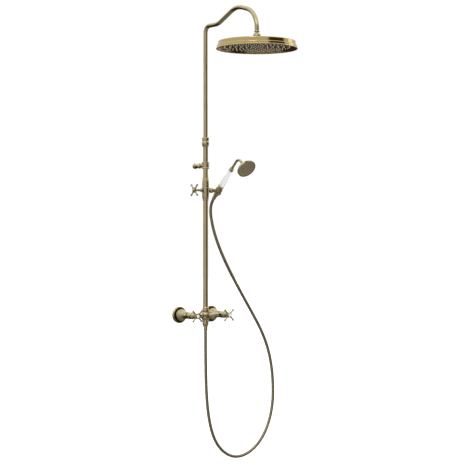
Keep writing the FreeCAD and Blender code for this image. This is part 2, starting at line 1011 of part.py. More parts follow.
def head_screws(at):
    x, y, z = at
    outline = [
        (0, 6.6),
        (1.6, 5.9),
        (2.6, 6.3),
        (3.2, 7.9),
        (1.5, 7.9),
        (1.5, 14.9),
        (0, 14.9),
    ]
    screws = [turned(f"head_screw_{k}", outline, (x + dx, y + dy, z)) for k, dx, dy in screw_places()]
    node("head_screws", group("head_screw_set", *screws))


def nozzle_holes(places, radius, foot, height):
    return Part.makeCompound([Part.makeCylinder(radius, height, p + Z_AXIS * foot) for p in places])


def nozzle_nubs(places, radius, foot, top):
    """Soft nozzles: a straight root through the plate and a tip that narrows to a blunt end."""
    root = foot + 2.4
    shapes = []
    for p in places:
        tip = Part.makeCone(radius * 0.6, radius, root - foot, p + Z_AXIS * foot)
        shapes.append(tip.fuse(Part.makeCylinder(radius, top - root, p + Z_AXIS * root)))
    return Part.makeCompound(shapes)


# ---------------------------------------------------------------- wall bracket


def wall_bracket():
    height = size.bracket_height
    at = (0, 0, height)
    out = size.column_out
    thread = size.bracket_thread_radius
    grip = size.riser_radius + size.running_gap
    flange = [
        (thread + 1, 0),
        (10.6, 0),
        (11.2, 0.8),
        (11.2, 4),
        Arc(9.4, 7.5, 4.2, "left"),
        (thread + 1, 7.5),
    ]
    stem = [
        (0, 7.7),
        (8.8, 7.7),
        (9.4, 9),
        Arc(8.6, 14, 14, "right"),
        (8.6, 30),
        (9.6, 31),
        Arc(9.6, 35, 2.4, "left"),
        (8, 36.5),
        Arc(5.4, 40, 4, "right"),
        (5.4, 46),
        Arc(8.6, 49, 4, "right"),
        (8.6, 51.5),
        (5, 51.5),
        (5, 59.5),
        (0, 59.5),
    ]
    clamp = [
        (grip, -13),
        (14, -13),
        (14.8, -12),
        (14.8, -9.5),
        Arc(13.8, -7, 3.2, "right"),
        Arc(13.8, 7, 40, "left"),
        Arc(14.8, 9.5, 3.2, "right"),
        (14.8, 12),
        (14, 13),
        (grip, 13),
    ]
    threaded = rod("bracket_thread", thread, 17.7, (0, -6, height), OUT)
    ring = turned("bracket_clamp", clamp, (0, -out, height))
    stem_hole = rod("bracket_stem_hole", 5.1, 10, (0, -51, height), OUT)
    boss = rod("bracket_boss", 8, 12, (0, -51.7, height), OUT)
    riser_room = rod("bracket_room", grip, 40, (0, -out, height - 20))
    node("bracket_flange", turned("bracket_rose", flange, at, OUT))
    node("bracket_stem", cut("stem_drilled", turned("stem", stem, at, OUT), threaded))
    node("bracket_ring", cut("ring_drilled", fused("ring_solid", ring, boss), stem_hole, riser_room))


# ---------------------------------------------------------------- slider and holder


def slider():
    """The sliding carrier on the lower tube: a nylon liner inside a spindle-shaped body."""
    base = size.slider_height
    at = (0, -size.column_out, base)
    liner = size.liner_radius
    gap = size.running_gap
    room = size.riser_radius + 0.4
    sleeve = [
        (size.riser_radius + gap, -18),
        (liner, -18),
        (liner, 18),
        (size.riser_radius + gap, 18),
    ]
    wide = size.slider_radius
    body = [
        (room, -40),
        (11.2, -40),
        (11.8, -39),
        (11.8, -37),
        (11.2, -36),
        Arc(wide, -10, 120, "left"),
        (wide + 0.6, -9),
        (wide + 0.6, 9),
        (wide, 10),
        (13.4, 20.8),
        (liner + 0.1, 20.8),
        (liner + 0.1, -18.3),
        (room, -18.3),
    ]
    cap = [
        (room, 18.3),
        (liner, 18.3),
        (liner, 21),
        (13.6, 21),
        (13.8, 22),
        (13.4, 24),
        Arc(11.2, 46, 120, "left"),
        (11.8, 47),
        (11.8, 49),
        (11.2, 50),
        (room, 50),
    ]
    bosses = fused(
        "slider_solid",
        turned("slider_spindle", body, at),
        rod("clamp_boss", 6.5, 8, (-12, -size.column_out, base), LEFT),
        rod("arm_boss", 6.5, 5, (12, -size.column_out, base), RIGHT),
    )
    tools = (
        rod("clamp_hole", 3.6, 30, (-8, -size.column_out, base), LEFT),
        rod("arm_hole", 4.05, 30, (8, -size.column_out, base), RIGHT),
        rod("liner_room", liner + 0.1, 36.6, (0, -size.column_out, base - 18.3)),
    )
    node("slider_liner", turned("liner", sleeve, at))
    node("slider_body", cut("slider_bored", bosses, *tools))
    node("slider_cap", turned("cap", cap, at))


def slider_clamp():
    """The cross handle whose stem presses on the liner and locks the slider's height."""
    base = size.slider_height
    out = size.clamp_out
    at = (0, -size.column_out, base)
    stem = [
        (0, 12.4),
        (3.5, 12.4),
        (3.5, 21),
        (5.4, 21),
        Arc(5.4, 25, 2.4, "left"),
        (3.6, 26.5),
        (3.6, 31),
        (5, 32),
        Arc(5, 35, 2, "left"),
        (3.4, 36.5),
        (3.4, out - 7.1),
        (2.4, out - 7.1),
        (2.4, out + 2),
        (0, out + 2),
    ]
    hub = [
        (0, out - 7),
        (5, out - 7),
        (5.4, out - 6),
        (7.4, out - 3.5),
        (7.4, out + 3.5),
        Arc(5, out + 6, 3, "left"),
        dome(5, out + 8.5, 2.5),
    ]
    hole = rod("clamp_stem_hole", 2.45, 10, (-out + 7.5, -size.column_out, base), LEFT)
    arms_at = (-out, -size.column_out, base)
    node("clamp_stem", turned("clamp_screw", stem, at, LEFT))
    node("clamp_handle", cross_handle("clamp_cross", hub, at, arms_at, LEFT, (hole,)))


def hand_shower_holder():
    base = size.slider_height
    y = -size.column_out
    centre = (size.holder_out, y, base)
    ball = 10.5
    middle = 27
    neck = 4.2
    rise = math.sqrt(ball**2 - neck**2)
    root = math.sqrt(ball**2 - 5.5**2)
    arm = [
        (0, 14),
        (4, 14),
        (4, 17.1),
        (5.5, 17.1),
        (5.5, middle - root),
        Arc(ball, middle, ball, "left"),
        Arc(neck, middle + rise, ball, "left"),
        (neck, 38.5),
        (5.8, 39.2),
        Arc(5.8, 42, 1.7, "left"),
        (5.2, 42.8),
        (6.4, 44),
        (6.4, 45.2),
        (1.6, 45.2),
        (1.6, 36.5),
        (0, 36.5),
    ]
    cup_radius = size.holder_radius
    cup = [
        (10.4, -16),
        (cup_radius - 1.4, -16),
        (cup_radius, -14.6),
        Arc(cup_radius, 5, 60, "right"),
        (cup_radius + 0.6, 6),
        (cup_radius - 0.4, 8),
        (11.84, 8),
    ]
    boss = rod("pivot_boss", 7, 8, (45.5, y, base), RIGHT)
    cone_room = turned("cone_room", [(0, -18), (10.28, -18), (11.84, 8), (0, 8)], centre, ALONG_HANDLE)
    corner = ALONG_HANDLE.multVec(Vector(0, -7, -20))
    slot_at = (size.holder_out, y + corner.y, base + corner.z)
    slot = block("hose_slot", 20, 14, 40, slot_at, ALONG_HANDLE)
    tools = (
        cone_room,
        slot,
        rod("pivot_hole", 2.1, 12, (44, y, base), RIGHT),
        rod("pivot_recess", 3.8, 6, (48.2, y, base), RIGHT),
        rod("grip_hole", 1.6, 20, centre, ACROSS_HANDLE),
    )
    solid = fused("holder_solid", turned("holder_cup", cup, centre, ALONG_HANDLE), boss)
    node("holder_arm", turned("ball_arm", arm, (0, y, base), RIGHT))
    node("hand_holder", cut("holder_bored", solid, *tools))
    pivot = [
        (0, 37),
        (1.5, 37),
        (1.5, 45.25),
        (2, 45.25),
        (2, 48.5),
        (3.4, 48.5),
        (3.4, 50),
        (1, 50),
        (1, 49.2),
        (0, 49.2),
    ]
    grip = [
        (0, 12.4),
        (1.5, 12.4),
        (1.5, 14.4),
        (3.2, 14.4),
        (3.6, 15),
        (3.6, 19),
        Arc(2.4, 20.2, 1.3, "left"),
        (0, 20.4),
    ]
    node("pivot_screw", turned("pivot", pivot, (0, y, base), RIGHT))
    node("holder_screw", turned("grip", grip, centre, ACROSS_HANDLE))


# ---------------------------------------------------------------- hand shower


def hand_shower_centre():
    return Vector(size.holder_out.value, -size.column_out.value, size.slider_height.value)


def hand_shower():
    at = (size.holder_out, -size.column_out, size.slider_height)
    tube = size.hand_neck_radius
    cone = [
        (4.5, -size.cone_nut_length),
        (7.4, -size.cone_nut_length),
        (8.2, 1 - size.cone_nut_length),
        (8.2, 5 - size.cone_nut_length),
        (9.4, 6.5 - size.cone_nut_length),
        (9.2, -18),
        (10, -16),
        (11.44, 8.2),
        (12.6, 8.4),
        Arc(12.6, 12, 2.4, "left"),
        (9.5, 12),
        (9.5, -2),
        (4.5, -2),
    ]
    lower = [
        (tube + 0.05, 0),
        (9.4, 0),
        (9.4, 12.2),
        (10.4, 12.2),
        Arc(10.4, 15.4, 2.2, "left"),
        (9.2, 16.2),
        Arc(9.6, 20, 5, "right"),
        (11.4, 21),
        Arc(11.4, 25, 2.6, "left"),
        (9.8, 26),
        (tube + 0.05, 26),
    ]
    grip = [
        (tube + 0.4, 26.1),
        (9.2, 26.1),
        Arc(11.8, 48, 60, "left"),
        Arc(10.8, 72, 130, "left"),
        Arc(8, 106, 260, "right"),
        Arc(7, 107.9, 2.4, "left"),
        (tube + 0.4, 107.9),
    ]
    upper = [
        (tube + 0.05, 108),
        (9, 108),
        Arc(9, 112, 2.5, "left"),
        (7.6, 113),
        Arc(7.6, 116, 2.6, "right"),
        (8.6, 116.8),
        Arc(8.6, 119.6, 1.7, "left"),
        (6.8, 120.6),
        Arc(5.8, 126, 9, "right"),
        (tube + 0.05, 126),
    ]
    node("cone_nut", turned("cone", cone, at, ALONG_HANDLE))
    node("lower_ferrule", turned("ferrule_low", lower, at, ALONG_HANDLE))
    node("porcelain_handle", turned("grip_shell", grip, at, ALONG_HANDLE))
    node("upper_ferrule", turned("ferrule_high", upper, at, ALONG_HANDLE))
    along = ALONG_HANDLE.multVec(Z_AXIS)
    facing = ALONG_ROSE.multVec(Z_AXIS)
    centre = hand_shower_centre()
    corner = centre + along * 174.8
    rose_at = corner + facing * 37
    start = centre + along * 1
    path = fixed_shape("neck_line", rounded_wire([start, corner, rose_at + facing * 6], [22]))
    inner = tube - 1.4
    neck = swept_tube("neck_bend", path, tube, inner, (start.x, start.y, start.z), ALONG_HANDLE)
    node("hand_neck", neck)
    rose((rose_at.x, rose_at.y, rose_at.z))


def rose(at):
    wide = size.rose_radius
    tube = size.hand_neck_radius
    shell = [
        (tube + 0.05, -2),
        (6.6, -2),
        (7.4, -1),
        Arc(7.4, 2, 1.8, "left"),
        (6.6, 3),
        Arc(16, 10, 9, "right"),
        Arc(wide - 0.6, 25, 36, "left"),
        (wide, 26),
        (wide, 30.6),
        Arc(wide - 1.4, 32, 1.4, "left"),
        (wide - 2.6, 32),
        (wide - 2.6, 26.2),
        Arc(15, 12.4, 36, "right"),
        (tube + 0.05, 8.4),
    ]
    plate_radius = wide - 2.8
    plate = [(0, 28.6), (plate_radius, 28.6), (plate_radius, 30.4), (0, 30.4)]
    mat = [(0, 26.9), (plate_radius - 0.6, 26.9), (plate_radius - 0.6, 28.4), (0, 28.4)]
    places = ring_places(ROSE_RINGS, size.rose_nozzle_pitch.value)
    holes = fixed_shape("rose_holes", nozzle_holes(places, 1.25, 28, 3))
    holes.Placement = turned_place(at, ALONG_ROSE)
    flip = Placement(Vector(0, 0, 0), Rotation(X_AXIS, 180))
    nubs = nozzle_nubs([flip.multVec(p) for p in places], 1.1, -32.4, -28)
    nubs.Placement = flip
    nubs = fixed_shape("rose_nubs", Part.makeCompound([s.copy() for s in nubs.Solids]))
    nubs.Placement = turned_place(at, ALONG_ROSE)
    node("rose_shell", turned("rose_bell", shell, at, ALONG_ROSE))
    node("rose_plate", cut("rose_pierced", turned("rose_disc", plate, at, ALONG_ROSE), holes))
    node("rose_mat", fused("rose_nozzles", turned("rose_sheet", mat, at, ALONG_ROSE), nubs))


# ---------------------------------------------------------------- hose

# the hose's route from the mixer's outlet to the cone nut, as (x, y, z); a run is straight
# between two points and each point in between is rounded off by the largest arc that fits
HOSE_ROUTE = [
    (0, -72, -46),
    (0, -72, -122),
    (0.9, -72, -205),
    (3.5, -72, -290),
    (10, -72.5, -366),
    (23, -73, -434),
    (45, -73.5, -490),
    (81, -74, -533),
    (131, -74.5, -559),
    (188, -74.5, -557),
    (244, -74, -529),
    (289, -73, -480),
    (319, -71, -419),
    (334.5, -69, -352),
    (337, -66, -280),
    (331, -63, -207),
    (315, -59, -137),
    (286, -54, -68),
    (246, -48, -1),
    (202, -42, 70),
    (158, -36, 143),
    (122, -31, 209),
    (95, -26.5, 268),
    (78, -22, 318),
    (67.5, -18.5, 364),
    (63, -17, 404),
    (62, -27, 437.5),
]
ARC_SHARE = 0.45  # share of the shorter run that an arc takes on each side of its point


def hose():
    column = (0, -size.column_out, 0)
    nut = [
        (size.inlet_thread_radius + 0.1, -27.4),
        (12, -27.4),
        (12.4, -28.2),
        (12.4, -33),
        Arc(11.4, -36, 4, "left"),
        (11.4, -37),
        Arc(8.6, -42, 7, "right"),
        (8.6, -46),
        (5.4, -46),
        (5.4, -36.1),
        (size.inlet_thread_radius + 0.1, -36.1),
    ]
    node("hose_nut", turned("hose_union", list(reversed(nut)), column))
    along = ALONG_HANDLE.multVec(Z_AXIS)
    corners = [Vector(*point) for point in HOSE_ROUTE]
    corners.append(hand_shower_centre() - along * (size.cone_nut_length.value + 0.1))
    radii = []
    for before, corner, after in zip(corners, corners[1:], corners[2:]):
        runs = (corner - before, after - corner)
        shorter = min(run.Length for run in runs)
        radii.append(ARC_SHARE * shorter / math.tan(runs[0].getAngle(runs[1]) / 2))
    path = fixed_shape("hose_line", rounded_wire(corners, radii))
    start = (corners[0].x, corners[0].y, corners[0].z)
    outer = size.hose_radius
    tube = swept_tube("hose_bend", path, outer, size.hose_bore_radius, start, UP)
    node("hose_tube", tube)
    length = path.Shape.Length
    print(f"hose: {length:.0f} mm long, radii {[round(r) for r in radii]}")


def build():
    wall_connections()
    washers()
    mixer_body()
    valve_insides()
    valve_handles()
    diverter()
    riser()
    height_collar()
    shower_arm()
    ball_joint()
    rain_head()
    wall_bracket()
    slider()
    slider_clamp()
    hand_shower_holder()
    hand_shower()
    hose()
    doc.recompute()


def check():
    for thing in doc.Objects:
        if {"Invalid", "Error"} & set(thing.State):
            raise RuntimeError(f"{thing.Name} failed to build: {thing.State}")
    for name, thing in nodes.items():
        if thing.Shape.isNull() or not thing.Shape.isValid() or not thing.Shape.Solids:
            raise RuntimeError(f"{name} has no valid solid")


def write():
    os.makedirs("parts", exist_ok=True)
    for name, thing in nodes.items():
        thing.Shape.exportStep(os.path.join("parts", name + ".step"))
        solids = thing.Shape.Solids
        print(f"{name}: {len(solids)} solid(s), {thing.Shape.Volume:.0f} mm3")


build()
check()
write()
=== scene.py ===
"""The looks of a wall-hung rainfall shower column in old brass.

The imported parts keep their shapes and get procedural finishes. The free hose and its crimped
sleeves are made here. Lengths are in metres.
"""

import math

import bmesh
import bpy
from bpy.props import FloatProperty, FloatVectorProperty, IntProperty, PointerProperty
from bpy.types import Operator, Panel, PropertyGroup
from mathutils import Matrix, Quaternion, Vector


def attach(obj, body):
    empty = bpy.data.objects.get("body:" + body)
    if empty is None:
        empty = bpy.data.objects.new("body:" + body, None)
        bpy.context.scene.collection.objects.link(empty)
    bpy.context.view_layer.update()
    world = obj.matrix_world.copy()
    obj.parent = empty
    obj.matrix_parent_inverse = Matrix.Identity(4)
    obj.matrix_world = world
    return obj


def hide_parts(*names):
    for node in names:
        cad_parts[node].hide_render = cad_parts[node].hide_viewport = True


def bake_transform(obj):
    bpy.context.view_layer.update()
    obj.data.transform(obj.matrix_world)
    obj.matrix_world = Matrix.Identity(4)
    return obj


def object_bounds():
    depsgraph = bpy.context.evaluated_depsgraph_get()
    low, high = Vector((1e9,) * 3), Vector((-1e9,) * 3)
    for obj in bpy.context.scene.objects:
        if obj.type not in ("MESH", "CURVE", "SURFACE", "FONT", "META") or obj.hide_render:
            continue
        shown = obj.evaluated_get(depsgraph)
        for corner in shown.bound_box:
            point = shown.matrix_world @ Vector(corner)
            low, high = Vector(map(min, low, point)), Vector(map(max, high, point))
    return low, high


bl_info = {
    "name": "Shower Column Looks",
    "version": (1, 0, 0),
    "blender": (4, 5, 0),
    "location": "View3D > Sidebar > Shower",
    "description": "Finishes, hose and studio for a rainfall shower column",
    "category": "Object",
}

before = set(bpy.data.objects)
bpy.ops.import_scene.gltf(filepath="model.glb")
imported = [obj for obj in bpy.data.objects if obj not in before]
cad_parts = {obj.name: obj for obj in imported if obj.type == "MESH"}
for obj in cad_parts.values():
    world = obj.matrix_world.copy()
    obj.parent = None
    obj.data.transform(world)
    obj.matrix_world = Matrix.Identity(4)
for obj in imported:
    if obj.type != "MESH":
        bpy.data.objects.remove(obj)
CAD_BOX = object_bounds()

# The hose's line, from the outlet under the mixer down, round its loop and up to the hand shower.
HOSE_ROUTE = [
    (0, -0.072, -0.046),
    (0, -0.072, -0.122),
    (0.0009, -0.072, -0.205),
    (0.0035, -0.072, -0.290),
    (0.010, -0.0725, -0.366),
    (0.023, -0.073, -0.434),
    (0.045, -0.0735, -0.490),
    (0.081, -0.074, -0.533),
    (0.131, -0.0745, -0.559),
    (0.188, -0.0745, -0.557),
    (0.244, -0.074, -0.529),
    (0.289, -0.073, -0.480),
    (0.319, -0.071, -0.419),
    (0.3345, -0.069, -0.352),
    (0.337, -0.066, -0.280),
    (0.331, -0.063, -0.207),
    (0.315, -0.059, -0.137),
    (0.286, -0.054, -0.068),
    (0.246, -0.048, -0.001),
    (0.202, -0.042, 0.070),
    (0.158, -0.036, 0.143),
    (0.122, -0.031, 0.209),
    (0.095, -0.0265, 0.268),
    (0.078, -0.022, 0.318),
    (0.0675, -0.0185, 0.364),
    (0.063, -0.017, 0.404),
    (0.062, -0.027, 0.4375),
    (0.062, -0.0487, 0.4579),
]

# Distances back from the hose's end at which its last three stretches start.
LAST_STRETCHES = (0.50, 0.25, 0.17)
# Distance between the turns carried along the hose, and the reach over which its heading is read.
TURN_STEP = 0.0005
HEADING_REACH = 0.002
SLEEVE_SIDES = 48

# Half the width of the studio floor.
FLOOR_REACH = 30
# The way from the column to the dark gap in front of it.
GAP_WAY = (0.375, -0.927, 0)


# ------------------------------------------------------------------ settings


class ShowerFinish(PropertyGroup):
    """Colours of the metals and the porcelain."""

    brass: FloatVectorProperty(
        name="Brass",
        description="Satin-polished brass where it is cleanest",
        subtype="COLOR",
        default=(0.365, 0.31, 0.182),
        min=0,
        max=1,
    )
    # Tarnish in streaks, and also the painted shade that darkens the hollows of the brass.
    tarnish_and_shade: FloatVectorProperty(
        name="Tarnish and Shade",
        description="Brown that time leaves in the hollows of the brass",
        subtype="COLOR",
        default=(0.075, 0.052, 0.022),
        min=0,
        max=1,
    )
    golden: FloatVectorProperty(
        name="Golden brass",
        description="Brighter brass of the rain head",
        subtype="COLOR",
        default=(0.45, 0.35, 0.165),
        min=0,
        max=1,
    )
    hose: FloatVectorProperty(
        name="Hose",
        description="Brassed strip of the hose",
        subtype="COLOR",
        default=(0.27, 0.24, 0.15),
        min=0,
        max=1,
    )
    porcelain: FloatVectorProperty(
        name="Porcelain",
        description="White glaze of the grip and the handle buttons",
        subtype="COLOR",
        default=(0.62, 0.62, 0.618),
        min=0,
        max=1,
    )
    polish: FloatProperty(
        name="Polish",
        description="Roughness of the brass where it is cleanest",
        subtype="FACTOR",
        default=0.10,
        min=0.02,
        max=0.8,
    )


class ShowerHose(PropertyGroup):
    """Sizes of the hose."""

    diameter: FloatProperty(
        name="Diameter",
        description="Outside diameter over the ridges",
        unit="LENGTH",
        default=0.012,
        min=0.008,
        max=0.02,
    )
    ridge_pitch: FloatProperty(
        name="Ridge pitch",
        description="Distance from one wound ridge to the next",
        unit="LENGTH",
        default=0.0027,
        min=0.0015,
        max=0.008,
    )
    groove: FloatProperty(
        name="Groove depth",
        description="Depth of the groove between two ridges",
        unit="LENGTH",
        default=0.0008,
        min=0.0001,
        max=0.002,
    )
    sides: IntProperty(
        name="Sides",
        description="Faces round the hose",
        default=20,
        min=8,
        max=64,
    )


class ShowerStage(PropertyGroup):
    """The studio round the column."""

    floor_height: FloatProperty(
        name="Floor height",
        description="Height of the studio floor in the column's frame",
        unit="LENGTH",
        default=-1.0,
    )
    light: FloatProperty(
        name="Light",
        description="Brightness of the surround overhead",
        default=1.62,
        min=0,
        max=10,
    )
    gap: FloatVectorProperty(
        name="Dark gap",
        description="Colour of the unlit gap that the polished tubes mirror",
        subtype="COLOR",
        default=(0.05, 0.03, 0.008),
        min=0,
        max=1,
    )


# ------------------------------------------------------------------ shader building


def add_node(tree, kind, links=None, **values):
    """A shader node with its input values set and its inputs linked from other sockets."""
    made = tree.nodes.new("ShaderNode" + kind)
    for name, value in values.items():
        if hasattr(made, name):
            setattr(made, name, value)
        else:
            made.inputs[name.replace("_", " ")].default_value = value
    for name, socket in (links or {}).items():
        tree.links.new(socket, made.inputs[name])
    return made


def ramp(tree, socket, *stops):
    """A colour ramp over socket with (place, grey) stops."""
    made = tree.nodes.new("ShaderNodeValToRGB")
    elements = made.color_ramp.elements
    while len(elements) < len(stops):
        elements.new(0.5)
    for element, (place, grey) in zip(elements, stops):
        element.position = place
        element.color = (grey, grey, grey, 1)
    tree.links.new(socket, made.inputs["Fac"])
    return made.outputs["Color"]


def mixed(tree, share, first, second):
    """The colour between two colours, each a socket or a plain colour."""
    made = tree.nodes.new("ShaderNodeMix")
    made.data_type = "RGBA"
    tree.links.new(share, made.inputs["Factor"])
    for place, colour in ((6, first), (7, second)):
        if isinstance(colour, bpy.types.NodeSocket):
            tree.links.new(colour, made.inputs[place])
        else:
            made.inputs[place].default_value = (*colour, 1)
    return made.outputs[2]


def mathed(tree, operation, *values, clamp=False):
    """The result of a sum over values, each a socket or a plain number."""
    made = tree.nodes.new("ShaderNodeMath")
    made.operation = operation
    made.use_clamp = clamp
    for place, value in enumerate(values):
        if isinstance(value, bpy.types.NodeSocket):
            tree.links.new(value, made.inputs[place])
        else:
            made.inputs[place].default_value = value
    return made.outputs[0]


def new_group(name, inputs, outputs):
    """An empty shader node group with float inputs {name: value} and named outputs."""
    tree = bpy.data.node_groups.new(name, "ShaderNodeTree")
    for label, value in inputs.items():
        socket = tree.interface.new_socket(label, in_out="INPUT", socket_type="NodeSocketFloat")
        socket.default_value = value
    for label in outputs:
        tree.interface.new_socket(label, in_out="OUTPUT", socket_type="NodeSocketFloat")
    return tree, tree.nodes.new("NodeGroupInput"), tree.nodes.new("NodeGroupOutput")


def patina_and_shade_group():
    """Where the metal is browned by tarnish in streaks and darkened by painted shade in its hollows,
    where it is rubbed bright, and its fine polishing grain.
    """
    if "Patina and Shade" in bpy.data.node_groups:
        return bpy.data.node_groups["Patina and Shade"]
    inputs = {"Cloud Scale": 22.0, "Hollow Reach": 0.007, "Edge Reach": 0.0012}
    tree, given, made = new_group("Patina and Shade", inputs, ("Tarnish and Shade", "Rub", "Grain"))
    place = add_node(tree, "TexCoord").outputs["Object"]
    clouds = add_node(
        tree,
        "TexNoise",
        {"Vector": place, "Scale": given.outputs["Cloud Scale"]},
        Detail=6.0,
        Roughness=0.6,
    )
    hollow = add_node(
        tree,
        "AmbientOcclusion",
        {"Distance": given.outputs["Hollow Reach"]},
        samples=8,
        only_local=True,
    )
    edge = add_node(
        tree,
        "AmbientOcclusion",
        {"Distance": given.outputs["Edge Reach"]},
        samples=8,
        only_local=True,
        inside=True,
    )
    fine = add_node(
        tree, "TexNoise", {"Vector": place}, Scale=900.0, Detail=3.0, Roughness=0.55
    )
    streaks = ramp(tree, clouds.outputs["Fac"], (0.42, 0), (0.72, 1))
    # Painted shade: hollows found by occlusion are darkened as if they lay in shadow.
    hollow_shade = ramp(tree, hollow.outputs["AO"], (0.3, 1), (0.82, 0))
    softened = mathed(tree, "MULTIPLY", streaks, 0.16)
    tarnish_and_shade = mathed(tree, "MAXIMUM", softened, hollow_shade)
    rub = ramp(tree, edge.outputs["AO"], (0.25, 1), (0.7, 0))
    tree.links.new(tarnish_and_shade, made.inputs["Tarnish and Shade"])
    tree.links.new(rub, made.inputs["Rub"])
    tree.links.new(fine.outputs["Fac"], made.inputs["Grain"])
    return tree


def new_material(name):
    """An empty node material, its tree and its Principled shader."""
    made = bpy.data.materials.new(name)
    made.use_nodes = True
    tree = made.node_tree
    tree.nodes.clear()
    shader = tree.nodes.new("ShaderNodeBsdfPrincipled")
    output = tree.nodes.new("ShaderNodeOutputMaterial")
    tree.links.new(shader.outputs["BSDF"], output.inputs["Surface"])
    return made, tree, shader


def grouped(tree, group, **values):
    """A node that holds the group, with its input values set."""
    made = tree.nodes.new("ShaderNodeGroup")
    made.node_tree = group
    for name, value in values.items():
        made.inputs[name.replace("_", " ")].default_value = value
    return made


def bumped(tree, shader, height, strength, distance):
    """Bump the shader's surface by a height socket."""
    bump = add_node(tree, "Bump", {"Height": height}, Strength=strength, Distance=distance)
    tree.links.new(bump.outputs["Normal"], shader.inputs["Normal"])


def brass(name, clean, dark, polish, cloud_scale=22.0, darkening=1.0):
    """Old brass: clean metal, browned by tarnish in streaks, darkened by painted shade in its
    hollows, and brighter along its rubbed edges.
    """
    made, tree, shader = new_material(name)
    patina_and_shade = grouped(tree, patina_and_shade_group(), Cloud_Scale=cloud_scale)
    bright = tuple(min(1, 1.25 * part + 0.02) for part in clean)
    # The darkening mixes tarnish in streaks with painted shade in the hollows.
    amount = mathed(tree, "MULTIPLY", patina_and_shade.outputs["Tarnish and Shade"], darkening, clamp=True)
    base = mixed(tree, amount, clean, dark)
    rubbed = mathed(tree, "MULTIPLY", patina_and_shade.outputs["Rub"], 0.6)
    tree.links.new(mixed(tree, rubbed, base, bright), shader.inputs["Base Color"])
    grain = mathed(tree, "MULTIPLY", patina_and_shade.outputs["Grain"], 0.1)
    dull = mathed(tree, "MULTIPLY", amount, 0.22)
    rough = mathed(tree, "ADD", mathed(tree, "ADD", grain, dull), polish - 0.06)
    tree.links.new(rough, shader.inputs["Roughness"])
    shader.inputs["Metallic"].default_value = 1
    bumped(tree, shader, patina_and_shade.outputs["Grain"], 0.08, 0.0001)
    return made


def threaded(name, clean, dark, bore_out, pitch):
    """Machined brass whose ends behind the wall carry the bump of a screw thread."""
    made = brass(name, clean, dark, 0.26, darkening=0.4)
    tree = made.node_tree
    shader = next(node for node in tree.nodes if node.type == "BSDF_PRINCIPLED")
    place = add_node(tree, "TexCoord").outputs["Object"]
    parts = add_node(tree, "SeparateXYZ", {"Vector": place}).outputs
    side = mathed(tree, "SUBTRACT", mathed(tree, "ABSOLUTE", parts["X"]), bore_out)
    round_it = mathed(tree, "ARCTAN2", parts["Z"], side)
    along = mathed(tree, "MULTIPLY", parts["Y"], 2 * math.pi / pitch)
    wave = mathed(tree, "SINE", mathed(tree, "ADD", round_it, along))
    behind = mathed(tree, "GREATER_THAN", parts["Y"], 0.001)
    height = mathed(tree, "MULTIPLY", wave, behind)
    bumped(tree, shader, height, 1.0, 0.0005)
    return made


def glazed(name, colour):
    """White glaze over fired clay: an even coat, a faint unevenness under it."""
    made, tree, shader = new_material(name)
    place = add_node(tree, "TexCoord").outputs["Object"]
    cloud = add_node(tree, "TexNoise", {"Vector": place}, Scale=60.0, Detail=3.0)
    warm = tuple(part * tint for part, tint in zip(colour, (0.985, 0.975, 0.95)))
    share = ramp(tree, cloud.outputs["Fac"], (0.35, 0), (0.75, 1))
    tree.links.new(mixed(tree, share, colour, warm), shader.inputs["Base Color"])
    pull = mathed(tree, "MULTIPLY", cloud.outputs["Fac"], 0.06)
    tree.links.new(mathed(tree, "ADD", pull, 0.1), shader.inputs["Roughness"])
    shader.inputs["Coat Weight"].default_value = 1
    shader.inputs["Coat Roughness"].default_value = 0.04
    bumped(tree, shader, cloud.outputs["Fac"], 0.03, 0.0003)
    return made


def moulded(name, light, dark, rough, scale=300.0):
    """A moulded or pressed solid, such as nylon, rubber or fibre, with a faint mottle."""
    made, tree, shader = new_material(name)
    place = add_node(tree, "TexCoord").outputs["Object"]
    grain = add_node(tree, "TexNoise", {"Vector": place}, Scale=scale, Detail=4.0)
    share = ramp(tree, grain.outputs["Fac"], (0.35, 0), (0.7, 1))
    tree.links.new(mixed(tree, share, light, dark), shader.inputs["Base Color"])
    pull = mathed(tree, "MULTIPLY", grain.outputs["Fac"], 0.2)
    tree.links.new(mathed(tree, "ADD", pull, rough - 0.1), shader.inputs["Roughness"])
    bumped(tree, shader, grain.outputs["Fac"], 0.2, 0.0002)
    return made


